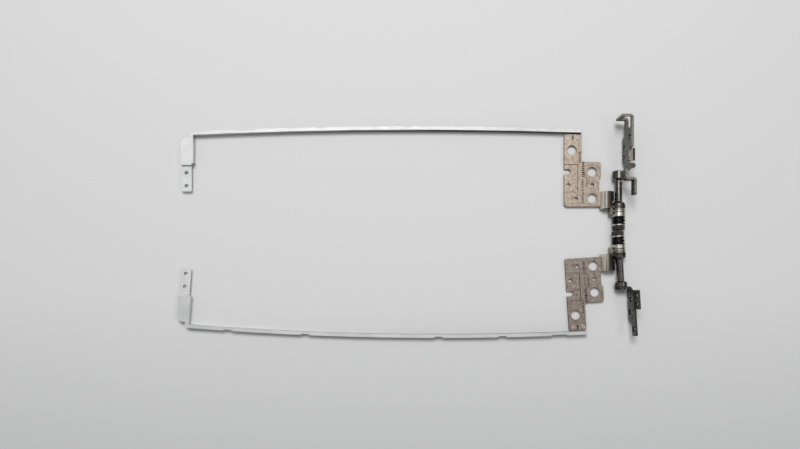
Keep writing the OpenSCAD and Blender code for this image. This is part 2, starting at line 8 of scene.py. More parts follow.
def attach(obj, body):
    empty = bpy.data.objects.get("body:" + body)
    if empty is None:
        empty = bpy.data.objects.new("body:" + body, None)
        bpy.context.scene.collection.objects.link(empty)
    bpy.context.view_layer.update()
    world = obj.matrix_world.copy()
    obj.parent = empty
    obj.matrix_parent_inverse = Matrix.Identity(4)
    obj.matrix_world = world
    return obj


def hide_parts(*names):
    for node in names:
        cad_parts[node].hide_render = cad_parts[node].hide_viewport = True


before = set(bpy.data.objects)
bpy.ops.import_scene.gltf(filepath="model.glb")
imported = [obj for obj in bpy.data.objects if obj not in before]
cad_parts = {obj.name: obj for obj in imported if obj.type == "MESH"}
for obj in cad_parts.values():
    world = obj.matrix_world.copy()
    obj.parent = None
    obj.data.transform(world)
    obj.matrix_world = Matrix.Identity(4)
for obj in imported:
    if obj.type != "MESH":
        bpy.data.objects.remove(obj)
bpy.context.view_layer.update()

# The table, the light and the camera. The pair lies on a pale matt table under two soft studio
# lights, a strong one beyond the far side and a weak one to the right. The camera looks straight
# down from 300 mm, near the front edge, with the frame shifted so that the whole pair is in view.

MM = 0.001
OPTICAL_CENTRE = Vector((-2.66 * MM, -35.29 * MM, 0))
CAMERA_HEIGHT = 300 * MM
SENSOR_WIDTH = 36
FOCAL_LENGTH = 27
FRAME_WIDTH = 800
CENTRE_BELOW_FRAME_MIDDLE = 75.5

camera_data = bpy.data.cameras.new("camera")
camera_data.sensor_width = SENSOR_WIDTH
camera_data.lens = FOCAL_LENGTH
camera_data.shift_y = CENTRE_BELOW_FRAME_MIDDLE / FRAME_WIDTH
camera_data.clip_start = 1 * MM
camera = bpy.data.objects.new("camera", camera_data)
camera.location = OPTICAL_CENTRE + Vector((0, 0, CAMERA_HEIGHT))
bpy.context.scene.collection.objects.link(camera)
bpy.context.scene.camera = camera

# Places of the colour sockets of a Mix node, which share their names with its other sockets
MIX_COLOUR_A, MIX_COLOUR_B, MIX_COLOUR_OUT = 6, 7, 2


def added(tree, kind, links=(), **settings):
    """A node with its settings, and its inputs linked to outputs or set to values."""
    node = tree.nodes.new(kind)
    for setting, value in settings.items():
        setattr(node, setting, value)
    for socket, value in links:
        if isinstance(value, bpy.types.NodeSocket):
            tree.links.new(value, node.inputs[socket])
        else:
            node.inputs[socket].default_value = value
    return node


def object_place(tree):
    """The place of a point in its object's own coordinates."""
    return added(tree, "ShaderNodeTexCoord").outputs["Object"]


def place_along(tree, axis):
    """A point's place along X, Y or Z in its object's own coordinates."""
    return added(tree, "ShaderNodeSeparateXYZ", [(0, object_place(tree))]).outputs[axis]


def remapped(tree, value, low, high, to_low=0, to_high=1):
    """A value taken from one range to another and held inside it."""
    return added(tree, "ShaderNodeMapRange", [
        ("Value", value), ("From Min", low), ("From Max", high),
        ("To Min", to_low), ("To Max", to_high)]).outputs["Result"]


def blended(tree, factor, first, second):
    """Two colours mixed by a mask. A colour is a socket or three numbers."""
    first, second = (colour if isinstance(colour, bpy.types.NodeSocket) else (*colour, 1)
                     for colour in (first, second))
    return added(tree, "ShaderNodeMix", [
        ("Factor", factor), (MIX_COLOUR_A, first), (MIX_COLOUR_B, second)],
        data_type="RGBA").outputs[MIX_COLOUR_OUT]


TABLE_SIZE = 3
TABLE_DROP = 0.03 * MM
TABLE_FAR = (0.74, 0.745, 0.74)
TABLE_NEAR_SHADED = (0.6, 0.605, 0.61)
# Past the pair the table fades into the plain room, so no far edge is seen
FADE_FROM = 0.27
FADE_TO = 0.8
# It is painted a little darker towards the front edge, as painted shade where the far light falls off
FRONT_STARTS = -0.03
FRONT_EDGE = -0.15

table_mesh = bpy.data.meshes.new("table")
table_mesh.from_pydata([(x * TABLE_SIZE / 2, y * TABLE_SIZE / 2, -TABLE_DROP)
                        for x, y in ((-1, -1), (1, -1), (1, 1), (-1, 1))], [], [(0, 1, 2, 3)])
table = bpy.data.objects.new("table", table_mesh)
bpy.context.scene.collection.objects.link(table)
table_paint = bpy.data.materials.new("pale_table")
table_paint.use_nodes = True
paint = table_paint.node_tree
table_shader = paint.nodes["Principled BSDF"]
table_shader.inputs["Roughness"].default_value = 0.8
table_shader.inputs["Specular IOR Level"].default_value = 0.2
away = added(paint, "ShaderNodeVectorMath", [(0, object_place(paint))], operation="LENGTH")
faded = remapped(paint, away.outputs["Value"], FADE_FROM, FADE_TO, to_low=1, to_high=0)
paint.links.new(faded, table_shader.inputs["Alpha"])
front = remapped(paint, place_along(paint, "Y"), FRONT_STARTS, FRONT_EDGE)
paint.links.new(blended(paint, front, TABLE_FAR, TABLE_NEAR_SHADED), table_shader.inputs["Base Color"])
table.data.materials.append(table_paint)


def softbox(name, place, aim, width, height, power):
    """A rectangular studio light at a place, aimed at a point of the table."""
    data = bpy.data.lights.new(name, "AREA")
    data.shape = "RECTANGLE"
    data.size = width
    data.size_y = height
    data.energy = power
    lamp = bpy.data.objects.new(name, data)
    lamp.location = place
    lamp.rotation_euler = (Vector(aim) - Vector(place)).to_track_quat("-Z", "Y").to_euler()
    bpy.context.scene.collection.objects.link(lamp)


softbox("far_light", place=(-0.06, 0.36, 0.80), aim=(0, 0.04, 0), width=0.4, height=0.34, power=5.2)
softbox("right_light", place=(0.62, -0.05, 0.80), aim=(0.05, 0, 0), width=0.3, height=0.3, power=0.8)

# The room is brighter on the left than on the right. The camera sees one plain tone instead.
ROOM_LEFT = 0.32
ROOM_RIGHT = 0.10
ROOM_SEEN = 0.64
DARKENS_FROM = 0.05
DARKENS_TO = 0.6

studio = bpy.data.worlds.new("studio")
studio.use_nodes = True
room = studio.node_tree
direction = added(room, "ShaderNodeTexCoord").outputs["Generated"]
sideways = added(room, "ShaderNodeSeparateXYZ", [(0, direction)]).outputs["X"]
ray = added(room, "ShaderNodeLightPath")
glow = added(room, "ShaderNodeMix", [
    ("Factor", ray.outputs["Is Camera Ray"]),
    ("A", remapped(room, sideways, DARKENS_FROM, DARKENS_TO, ROOM_LEFT, ROOM_RIGHT)),
    ("B", ROOM_SEEN)])
room.nodes["Background"].inputs["Color"].default_value = (1, 1, 1, 1)
room.links.new(glow.outputs["Result"], room.nodes["Background"].inputs["Strength"])
bpy.context.scene.world = studio
bpy.context.scene.view_settings.view_transform = "Standard"

# Lid plates. Each is stamped from 1.2 mm steel sheet and bent into an arched neck and an ear for
# the shaft. A thin warm plating covers it, blotchy from the bath, and the sheared edges are dull.

PLATE_SHEET = 1.2 * MM
PLATE_EDGE = 0.10 * MM
PLATE_TOP = 1.8 * MM
FACET_ANGLE = math.radians(35)
FLAT_ANGLE = math.radians(0.4)
WELD = 0.002 * MM

# The finishes of a sheet piece, and what tells its surfaces apart: their mean width in sheet
# thicknesses, and how far a hole's wall faces all ways and how long it is
SHEET_FACE, CUT_EDGE, HOLE_WALL, COINED_WALL = range(4)
FACE_WIDTH = 1.15
COINED_WIDTH = 0.35
ROUND_FACING = 0.3
HOLE_REACH = 20 * MM


def product(tree, first, second):
    """The product of a value and a second value or a number."""
    return added(tree, "ShaderNodeMath", [(0, first), (1, second)], operation="MULTIPLY").outputs[0]


def node_group(kind, name, inputs, outputs):
    """An empty node group with its named sockets, and the sockets inside it for what goes in and
    out. An input is a name, a kind and, in a shader group, a value."""
    group = bpy.data.node_groups.new(name, kind)
    for socket, socket_kind, *value in inputs:
        made = group.interface.new_socket(socket, in_out="INPUT", socket_type=socket_kind)
        if value:
            made.default_value = value[0]
    for socket, socket_kind in outputs:
        group.interface.new_socket(socket, in_out="OUTPUT", socket_type=socket_kind)
    return group, group.nodes.new("NodeGroupInput").outputs, group.nodes.new("NodeGroupOutput").inputs


# A mask along the edges, broken up where fingers and the packing touched it. It lays each finish's
# edge tone: wear where that tone is lighter than the face, and partly painted edge shade where it is
# darker. It comes in as the rounded normal turns away from the face's own, told by the cosine
# between the two.
RUB_STARTS = 0.99
RUB_FULL = 0.85
RUB_PATCHES = (0.35, 0.62)
LEAST_RUB = 0.15
edge_rub_and_shade, given, put = node_group("ShaderNodeTree", "edge_rub_and_shade", [
    ("Width", "NodeSocketFloat", 0.15 * MM), ("Patches", "NodeSocketFloat", 900.0)],
    [("Mask", "NodeSocketFloat")])
rounded = added(edge_rub_and_shade, "ShaderNodeBevel", [("Radius", given["Width"])], samples=4)
facing = added(edge_rub_and_shade, "ShaderNodeNewGeometry")
turn = added(edge_rub_and_shade, "ShaderNodeVectorMath", [
    (0, rounded.outputs["Normal"]), (1, facing.outputs["Normal"])], operation="DOT_PRODUCT")
patches = added(edge_rub_and_shade, "ShaderNodeTexNoise", [("Vector", object_place(edge_rub_and_shade)),
                                                 ("Scale", given["Patches"])])
near_edge = remapped(edge_rub_and_shade, turn.outputs["Value"], RUB_STARTS, RUB_FULL)
uneven = remapped(edge_rub_and_shade, patches.outputs["Fac"], *RUB_PATCHES, to_low=LEAST_RUB)
edge_rub_and_shade.links.new(product(edge_rub_and_shade, near_edge, uneven), put["Mask"])

# Cloudy patches, as a plating bath leaves them
CLOUD_RANGE = (0.36, 0.64)
plating_clouds, given, put = node_group("ShaderNodeTree", "plating_clouds", [
    ("Scale", "NodeSocketFloat", 120.0), ("Contrast", "NodeSocketFloat", 1.0)],
    [("Clouds", "NodeSocketFloat")])
clouds = added(plating_clouds, "ShaderNodeTexNoise", [
    ("Vector", object_place(plating_clouds)), ("Scale", given["Scale"]), ("Detail", 5),
    ("Roughness", 0.62), ("Distortion", 0.15)])
clouded = remapped(plating_clouds, clouds.outputs["Fac"], *CLOUD_RANGE)
plating_clouds.links.new(product(plating_clouds, clouded, given["Contrast"]), put["Clouds"])

# Fine streaks of rolling, turning or brushing, stretched by the three scales
STREAK_RANGE = (0.3, 0.7)
tool_streaks, given, put = node_group("ShaderNodeTree", "tool_streaks", [
    ("Scales", "NodeSocketVector", (1.0, 1.0, 1.0))], [("Streaks", "NodeSocketFloat")])
stretch = added(tool_streaks, "ShaderNodeMapping", [("Vector", object_place(tool_streaks)),
                                                    ("Scale", given["Scales"])])
streaks = added(tool_streaks, "ShaderNodeTexNoise", [("Vector", stretch.outputs["Vector"]),
                                                     ("Scale", 1), ("Detail", 3)])
tool_streaks.links.new(remapped(tool_streaks, streaks.outputs["Fac"], *STREAK_RANGE), put["Streaks"])

# Small dark pits and specks of dirt, which come in patches
SPECK_PATCH_SCALE = 420
SPECK_PATCHES = (0.5, 0.62)
dirt_specks, given, put = node_group("ShaderNodeTree", "dirt_specks", [
    ("Scale", "NodeSocketFloat", 1400.0), ("Size", "NodeSocketFloat", 0.18)],
    [("Specks", "NodeSocketFloat")])
cells = added(dirt_specks, "ShaderNodeTexVoronoi", [("Vector", object_place(dirt_specks)),
                                                    ("Scale", given["Scale"])])
pick = added(dirt_specks, "ShaderNodeTexNoise", [("Vector", object_place(dirt_specks)),
                                                 ("Scale", SPECK_PATCH_SCALE)])
inside = added(dirt_specks, "ShaderNodeMath", [(0, cells.outputs["Distance"]), (1, given["Size"])],
               operation="LESS_THAN")
in_patch = remapped(dirt_specks, pick.outputs["Fac"], *SPECK_PATCHES)
dirt_specks.links.new(product(dirt_specks, inside.outputs[0], in_patch), put["Specks"])

DIRT = (0.03, 0.028, 0.025)


def metal(name, light, dark, edge_wear_and_shade, gloss, clouds, scales=(3000, 3000, 3000), streaks=0.25, edge_strength=0.6,
          specks=0.5, relief=0.004 * MM):
    """A metal surface: two shades clouded together and streaked, given its edge tone along its edges
    and specked with dirt. The edge tone is wear where it is lighter than the face and partly painted
    edge shade where it is darker. gloss is its smoothest and its roughest roughness."""
    made = bpy.data.materials.new(name)
    made.use_nodes = True
    tree = made.node_tree
    shader = tree.nodes["Principled BSDF"]
    effect = {}
    for group, socket, settings in ((plating_clouds, "Clouds", [("Scale", clouds)]),
                                    (tool_streaks, "Streaks", [("Scales", scales)]),
                                    (edge_rub_and_shade, "Mask", []), (dirt_specks, "Specks", [])):
        effect[socket] = added(tree, "ShaderNodeGroup", settings, node_tree=group).outputs[socket]
    shade = blended(tree, effect["Clouds"], dark, light)
    shade = blended(tree, product(tree, effect["Streaks"], streaks), shade, dark)
    # The edge tone along the edges: wear where it is lighter, partly painted edge shade where it is
    # darker
    shade = blended(tree, product(tree, effect["Mask"], edge_strength), shade, edge_wear_and_shade)
    shade = blended(tree, product(tree, effect["Specks"], specks), shade, DIRT)
    smoothest, roughest = gloss
    clouded_gloss = remapped(tree, effect["Clouds"], 0, 1, smoothest, (smoothest + roughest) / 2)
    streaked_gloss = added(tree, "ShaderNodeMix", [("Factor", effect["Streaks"]),
                                                   ("A", clouded_gloss), ("B", roughest)])
    bump = added(tree, "ShaderNodeBump", [("Distance", relief), ("Height", effect["Streaks"])])
    tree.links.new(shade, shader.inputs["Base Color"])
    tree.links.new(streaked_gloss.outputs["Result"], shader.inputs["Roughness"])
    tree.links.new(bump.outputs["Normal"], shader.inputs["Normal"])
    shader.inputs["Metallic"].default_value = 1
    return made


def overlay(material, mask, colour):
    """One more colour laid over a material's base colour by a mask."""
    tree = material.node_tree
    tint = tree.nodes["Principled BSDF"].inputs["Base Color"]
    tree.links.new(blended(tree, mask, tint.links[0].from_socket, colour), tint)


def surfaces(shape):
    """The shape's surfaces, each the faces that meet smoothly, as lists of faces."""
    left, found = set(shape.faces), []
    while left:
        surface, reached = [], [left.pop()]
        while reached:
            face = reached.pop()
            surface.append(face)
            for rib in face.edges:
                if rib.smooth:
                    for other in rib.link_faces:
                        if other in left:
                            left.remove(other)
                            reached.append(other)
        found.append(surface)
    return found


def finish_number(surface, sheet):
    """Which finish a surface of a sheet piece takes, by its mean width and the way it faces."""
    area = sum(face.calc_area() for face in surface)
    rim = sum(rib.calc_length() for face in surface for rib in face.edges if not rib.smooth)
    width = 2 * area / max(rim, 1e-9)
    facing = Vector((0, 0, 0))
    for face in surface:
        facing += face.normal * face.calc_area()
    if width > FACE_WIDTH * sheet:
        return SHEET_FACE
    if width < COINED_WIDTH * sheet:
        return COINED_WALL
    return HOLE_WALL if facing.length < ROUND_FACING * area and area < HOLE_REACH * sheet else CUT_EDGE


def dressed(node_name, edge, sheet=0.0):
    """A CAD node's shape as a finished piece: facets joined, shading smooth, edges softened, and
    on a piece of sheet each surface marked with its finish."""
    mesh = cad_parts[node_name].data.copy()
    mesh.name = node_name + "_dressed"
    mesh.materials.clear()
    shape = bmesh.new()
    shape.from_mesh(mesh)
    bmesh.ops.remove_doubles(shape, verts=shape.verts, dist=WELD)
    bmesh.ops.dissolve_limit(shape, angle_limit=FLAT_ANGLE, verts=shape.verts, edges=shape.edges)
    for rib in shape.edges:
        rib.smooth = rib.is_manifold and rib.calc_face_angle(0) < FACET_ANGLE
    for surface in surfaces(shape):
        finish = finish_number(surface, sheet) if sheet else SHEET_FACE
        for face in surface:
            face.smooth = True
            face.material_index = finish
    shape.to_mesh(mesh)
    shape.free()
    piece = bpy.data.objects.new(node_name + "_dressed", mesh)
    bpy.context.scene.collection.objects.link(piece)
    soft = piece.modifiers.new("soft_edges", "BEVEL")
    soft.width = edge
    soft.segments = 2
    soft.limit_method = "ANGLE"
    soft.angle_limit = FACET_ANGLE
    soft.harden_normals = True
    return piece


# On both platings the dark edge tone draws outlines along the edges, holes and neck: partly dirt,
# partly painted edge shade
WARM_PLATING = metal("warm_plating", (0.52, 0.435, 0.36), (0.30, 0.243, 0.198), (0.10, 0.085, 0.072),
                     (0.34, 0.5), clouds=620, scales=(900, 3200, 2000), streaks=0.35, edge_strength=0.75,
                     specks=0.75)
TAUPE_PLATING = metal("taupe_plating", (0.41, 0.348, 0.30), (0.21, 0.174, 0.15), (0.07, 0.06, 0.052),
                      (0.34, 0.5), clouds=580, scales=(900, 3200, 2000), streaks=0.4, edge_strength=0.75,
                      specks=0.75)
PLATE_CUT = metal("sheared_plate_edge", (0.09, 0.078, 0.07), (0.04, 0.036, 0.032), (0.26, 0.23, 0.2),
                  (0.4, 0.6), clouds=700, scales=(5000, 5000, 600), edge_strength=0.25)
PLATE_BORE = metal("punched_plate_hole", (0.46, 0.42, 0.37), (0.2, 0.18, 0.16), (0.5, 0.46, 0.42),
                   (0.35, 0.55), clouds=900, scales=(5000, 5000, 500), edge_strength=0.3)
# The coined step's narrow walls are painted dark: painted shade of the step
COINED_STEP_SHADE = metal("painted_shade_in_coined_step", (0.09, 0.08, 0.07), (0.05, 0.044, 0.04), (0.2, 0.18, 0.16),
                    (0.5, 0.7), clouds=700, edge_strength=0.1)

# Painted light on the neck: a painted highlight at its foot, a duller painted reflection at the crest,
# and painted shade beyond it, standing for the shaft's dark reflection
NECK_TONE_FADE = 0.35 * MM
CREST_WIDTH = 1.2 * MM
WAVER = 0.3 * MM
WAVER_SCALE = 600
RAISED_FROM = PLATE_TOP + 0.02 * MM
RAISED_TO = PLATE_TOP + 0.2 * MM


def paint_neck_light(plating, painted_highlight, crest, painted_neck_shade, crest_starts):
    """The neck's three painted tones, all above the plate's flat face: a painted highlight at the
    foot, a duller painted reflection up to the crest, and painted shade from there down to the ear."""
    tree = plating.node_tree
    waver = added(tree, "ShaderNodeTexNoise", [("Vector", object_place(tree)), ("Scale", WAVER_SCALE)])
    along = added(tree, "ShaderNodeMath", [
        (0, waver.outputs["Fac"]), (1, WAVER), (2, place_along(tree, "X"))],
        operation="MULTIPLY_ADD").outputs[0]
    raised = remapped(tree, place_along(tree, "Z"), RAISED_FROM, RAISED_TO)
    overlay(plating, raised, painted_highlight)
    for tone, starts in ((crest, crest_starts), (painted_neck_shade, crest_starts + CREST_WIDTH)):
        reached = remapped(tree, along, starts, starts + NECK_TONE_FADE)
        overlay(plating, product(tree, raised, reached), tone)


paint_neck_light(WARM_PLATING, painted_highlight=(1.0, 0.95, 0.88), crest=(0.25, 0.228, 0.19),
          painted_neck_shade=(0.085, 0.072, 0.062), crest_starts=98.0 * MM)
paint_neck_light(TAUPE_PLATING, painted_highlight=(0.88, 0.82, 0.74), crest=(0.23, 0.215, 0.172),
          painted_neck_shade=(0.055, 0.05, 0.042), crest_starts=98.7 * MM)

for side, plating in (("right", WARM_PLATING), ("left", TAUPE_PLATING)):
    plate = dressed(side + "_lid_plate", PLATE_EDGE, PLATE_SHEET)
    for finish in (plating, PLATE_CUT, PLATE_BORE, COINED_STEP_SHADE):
        plate.data.materials.append(finish)
    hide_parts(side + "_lid_plate")
    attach(plate, "lid_side")

# Punched marks. Rows of short strokes struck into each lid plate with a blunt tool, dark with
# oil, where a maker would stamp its marks, and one longer stroke between the rail's rivets.

STROKE_PROUD = 0.012 * MM
STROKE_DEEP = 0.05 * MM
STROKE_HEIGHT = STROKE_PROUD + STROKE_DEEP
STROKE_MIDDLE = PLATE_TOP + STROKE_PROUD - STROKE_HEIGHT / 2
LEFT_TURN = math.radians(3.5)
RIGHT_HINGE = Matrix.Translation((105.49 * MM, 11.16 * MM, 0))
# The left hinge is turned a little and lies mirrored
LEFT_HINGE = (Matrix.Translation((105.74 * MM, -13.288 * MM, 0)) @ Matrix.Rotation(LEFT_TURN, 4, "Z")
              @ Matrix.Scale(-1, 4, (0, 1, 0)))
# Rows as x and the two ends along y from the hinge's origin, strokes, and a stroke's two sizes
STROKE_ROWS = [(-17.1, 15.0, 21.8, 8, 1.35, 0.56), (-17.3, 1.9, 7.9, 8, 1.05, 0.42),
               (-18.9, 21.8, 27.0, 7, 1.0, 0.4), (-15.3, 9.9, 14.0, 6, 0.8, 0.32),
               (-17.4, 9.6, 13.4, 6, 0.85, 0.3)]
LEAST_STRETCH = (0.6, 0.65, 1)
MOST_STRETCH = (1.2, 1.25, 1)
# Single lines with x, y and the two sizes: the mark between the rivets, and dark lines along the
# pocket's three sides, painted shade of the coined step
SINGLE_LINES = [(-22.2, 34.2, 0.62, 2.1), (-23.1, 20.9, 6.7, 0.16), (-19.75, 14, 0.16, 13.7),
                (-23.1, 7.1, 6.7, 0.12)]
NO_STRETCH = (1, 1, 1)


def geometry_tree(name, inputs):
    """An empty geometry tree with its named inputs, a geometry input and a geometry output."""
    return node_group("GeometryNodeTree", name, [("Geometry", "NodeSocketGeometry"), *inputs],
                      [("Geometry", "NodeSocketGeometry")])


def realized(tree, placed, put, material):
    """The end of a tree: its copies as one mesh, in one finish, put out."""
    whole = added(tree, "GeometryNodeRealizeInstances", [("Geometry", placed.outputs["Instances"])])
    finished = added(tree, "GeometryNodeSetMaterial", [("Geometry", whole.outputs["Geometry"]),
                                                       ("Material", material)])
    tree.links.new(finished.outputs["Geometry"], put["Geometry"])


def grown(tree, sizes, place):
    """The plain mesh that a geometry tree makes with these sizes, moved to its place. A place
    that mirrors it turns it inside out, so its doubles are merged and its normals recalculated."""
    seed_mesh = bpy.data.meshes.new(tree.name + "_seed")
    seed = bpy.data.objects.new(tree.name + "_seed", seed_mesh)
    bpy.context.scene.collection.objects.link(seed)
    grow = seed.modifiers.new("grow", "NODES")
    grow.node_group = tree
    for item in tree.interface.items_tree:
        if item.item_type == "SOCKET" and item.in_out == "INPUT" and item.name in sizes:
            grow[item.identifier] = sizes[item.name]
    graph = bpy.context.evaluated_depsgraph_get()
    mesh = bpy.data.meshes.new_from_object(seed.evaluated_get(graph), preserve_all_data_layers=True,
                                           depsgraph=graph)
    bpy.data.objects.remove(seed)
    bpy.data.meshes.remove(seed_mesh)
    mesh.transform(place)
    if place.determinant() < 0:
        shape = bmesh.new()
        shape.from_mesh(mesh)
        bmesh.ops.remove_doubles(shape, verts=shape.verts, dist=WELD)
        bmesh.ops.recalc_face_normals(shape, faces=shape.faces)
        shape.to_mesh(mesh)
        shape.free()
    return mesh


def joined(name, meshes, material):
    """One piece from several plain meshes of one finish."""
    shape = bmesh.new()
    for mesh in meshes:
        shape.from_mesh(mesh)
        bpy.data.meshes.remove(mesh)
    for rib in shape.edges:
        rib.smooth = rib.is_manifold and rib.calc_face_angle(0) < FACET_ANGLE
    for face in shape.faces:
        face.smooth = True
        face.material_index = 0
    whole = bpy.data.meshes.new(name)
    shape.to_mesh(whole)
    shape.free()
    whole.materials.append(material)
    piece = bpy.data.objects.new(name, whole)
    bpy.context.scene.collection.objects.link(piece)
    return piece


# Dark oil in the punched strokes; the same colour draws the painted shade along the pocket's sides
MARK_OIL_AND_STEP_SHADE = metal("oil_in_marks_and_painted_step_shade", (0.045, 0.038, 0.034), (0.025, 0.022, 0.02),
                     (0.12, 0.1, 0.09), (0.45, 0.65), clouds=900, edge_strength=0.1)

stroke_row, given, put = geometry_tree("stroke_row", [
    ("Start", "NodeSocketVector"), ("End", "NodeSocketVector"), ("Strokes", "NodeSocketInt"),
    ("Stroke size", "NodeSocketVector"), ("Least", "NodeSocketVector"),
    ("Most", "NodeSocketVector"), ("Seed", "NodeSocketInt"), ("Finish", "NodeSocketMaterial")])
row = added(stroke_row, "GeometryNodeMeshLine", [
    ("Count", given["Strokes"]), ("Start Location", given["Start"]), ("Offset", given["End"])],
    mode="END_POINTS")
stroke = added(stroke_row, "GeometryNodeMeshCube", [("Size", given["Stroke size"])])
stretches = added(stroke_row, "FunctionNodeRandomValue", [
    ("Min", given["Least"]), ("Max", given["Most"]), ("Seed", given["Seed"])],
    data_type="FLOAT_VECTOR")
strokes = added(stroke_row, "GeometryNodeInstanceOnPoints", [
    ("Points", row.outputs["Mesh"]), ("Instance", stroke.outputs["Mesh"]),
    ("Scale", stretches.outputs["Value"])])
realized(stroke_row, strokes, put, given["Finish"])


def struck(hinge_place, x, from_y, to_y, count, long, wide, stretch=(NO_STRETCH, NO_STRETCH), seed=0):
    """The mesh of a row of strokes on one hinge's plate."""
    return grown(stroke_row, {
        "Start": (x * MM, from_y * MM, STROKE_MIDDLE), "End": (x * MM, to_y * MM, STROKE_MIDDLE),
        "Strokes": count, "Stroke size": (long * MM, wide * MM, STROKE_HEIGHT),
        "Least": stretch[0], "Most": stretch[1], "Seed": seed, "Finish": MARK_OIL_AND_STEP_SHADE}, hinge_place)


marks = []
for hinge_number, hinge_place in enumerate((RIGHT_HINGE, LEFT_HINGE)):
    for row_number, row_sizes in enumerate(STROKE_ROWS):
        marks.append(struck(hinge_place, *row_sizes, stretch=(LEAST_STRETCH, MOST_STRETCH),
                            seed=10 * hinge_number + row_number))
    for x, y, long, wide in SINGLE_LINES:
        marks.append(struck(hinge_place, x, y, y, 1, long, wide))
punched_marks = joined("punched_marks", marks, MARK_OIL_AND_STEP_SHADE)
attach(punched_marks, "lid_side")

# Side rails. Long strips of 0.6 mm steel folded to an angle and zinc plated: bright on the top
# flange and painted darker on the upright web, as painted shade. The painted shade fades out
# towards the far end.

RAIL_SHEET = 0.6 * MM
RAIL_EDGE = 0.12 * MM
WEB_STEEPNESS = 0.3
SHADE_ENDS = -100 * MM
SHADE_FULL = 20 * MM
UNSHADED_ZINC = (0.6, 0.6, 0.6)

# Its darker edge tone draws a thin outline along the flange, partly painted edge shade
BRIGHT_ZINC = metal("bright_zinc", (0.74, 0.74, 0.735), (0.60, 0.605, 0.61), (0.24, 0.24, 0.245),
                    (0.56, 0.7), clouds=90, scales=(300, 6000, 6000), streaks=0.3, edge_strength=0.5)
# A darker copy of the zinc for the upright web: painted shade, fading out towards the far end
SHADED_WEB_ZINC = metal("painted_shade_zinc", (0.16, 0.155, 0.15), (0.08, 0.078, 0.075), (0.5, 0.5, 0.5),
                   (0.35, 0.55), clouds=120, scales=(300, 6000, 6000), edge_strength=0.4)
web_shade_tree = SHADED_WEB_ZINC.node_tree
less_shade = remapped(web_shade_tree, place_along(web_shade_tree, "X"), SHADE_ENDS, SHADE_FULL, to_low=1, to_high=0)
overlay(SHADED_WEB_ZINC, less_shade, UNSHADED_ZINC)

for side in ("right", "left"):
    rail = dressed(side + "_side_rail", RAIL_EDGE, RAIL_SHEET)
    rail.data.materials.append(BRIGHT_ZINC)
    rail.data.materials.append(SHADED_WEB_ZINC)
    for face in rail.data.polygons:
        web = face.material_index == SHEET_FACE and abs(face.normal.z) < WEB_STEEPNESS
        face.material_index = int(web)
    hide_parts(side + "_side_rail")
    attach(rail, "lid_side")

# Rail rivets. Two soft steel rivets hold each rail's foot under its plate. Their heads are
# pressed flat, with a raised ring that the tool leaves.

RIVET_EDGE = 0.06 * MM
RIVET_STEEL = metal("rivet_steel", (0.52, 0.47, 0.43), (0.36, 0.32, 0.29), (0.75, 0.72, 0.7),
                    (0.3, 0.5), clouds=900, edge_strength=0.5)

for side in ("right", "left"):
    rivets = dressed(side + "_rail_rivets", RIVET_EDGE)
    rivets.data.materials.append(RIVET_STEEL)
    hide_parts(side + "_rail_rivets")
    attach(rivets, "lid_side")

# The ring that the closing tool presses up on each head
HEAD_TOP = PLATE_TOP + 0.25 * MM
RING_RADIUS = 0.72 * MM
RING_WIDTH = 0.14 * MM
RING_SUNK = 0.4 * RING_WIDTH
RIVET_PLACES = [(-24.5, 33.9), (-19.65, 33.9)]

head_ring, given, put = geometry_tree("head_ring", [
    ("Spacing", "NodeSocketVector"), ("First", "NodeSocketVector"), ("Radius", "NodeSocketFloat"),
    ("Width", "NodeSocketFloat"), ("Finish", "NodeSocketMaterial")])
heads = added(head_ring, "GeometryNodeMeshLine", [
    ("Count", 2), ("Start Location", given["First"]), ("Offset", given["Spacing"])], mode="OFFSET")
round_path = added(head_ring, "GeometryNodeCurvePrimitiveCircle", [("Radius", given["Radius"]),
                                                                   ("Resolution", 40)])
bead = added(head_ring, "GeometryNodeCurvePrimitiveCircle", [("Radius", given["Width"]),
                                                             ("Resolution", 8)])
ring = added(head_ring, "GeometryNodeCurveToMesh", [("Curve", round_path.outputs["Curve"]),
                                                    ("Profile Curve", bead.outputs["Curve"])])
rings = added(head_ring, "GeometryNodeInstanceOnPoints", [("Points", heads.outputs["Mesh"]),
                                                          ("Instance", ring.outputs["Mesh"])])
realized(head_ring, rings, put, given["Finish"])

first, second = (Vector((x * MM, y * MM, HEAD_TOP - RING_SUNK)) for x, y in RIVET_PLACES)
rivet_rings = joined("rivet_rings", [
    grown(head_ring, {"First": first, "Spacing": second - first, "Radius": RING_RADIUS,
                      "Width": RING_WIDTH / 2, "Finish": RIVET_STEEL}, hinge_place)
    for hinge_place in (RIGHT_HINGE, LEFT_HINGE)], RIVET_STEEL)
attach(rivet_rings, "lid_side")

# Shafts. Turned steel, case hardened dark and polished: a round or milled head, a slim middle,
# and a cone and collar against the ear.

SHAFT_EDGE = 0.08 * MM
DARK_STEEL = metal("dark_polished_steel", (0.18, 0.17, 0.157), (0.10, 0.094, 0.086),
                   (0.4, 0.39, 0.37), (0.23, 0.29), clouds=400, scales=(900, 4000, 900), edge_strength=0.4,
                   relief=0.0006 * MM)

for side in ("right", "left"):
    shaft = dressed(side + "_shaft", SHAFT_EDGE)
    shaft.data.materials.append(DARK_STEEL)
    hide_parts(side + "_shaft")
    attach(shaft, side + "_base_side")

# Washers. Ground steel rings on the keyed end of the shaft: a friction washer, a stop washer whose
# ring is plain washer steel and whose hooked tab is painted a darker green as a painted reflection,
# a cam washer, and a flat washer under the nut.

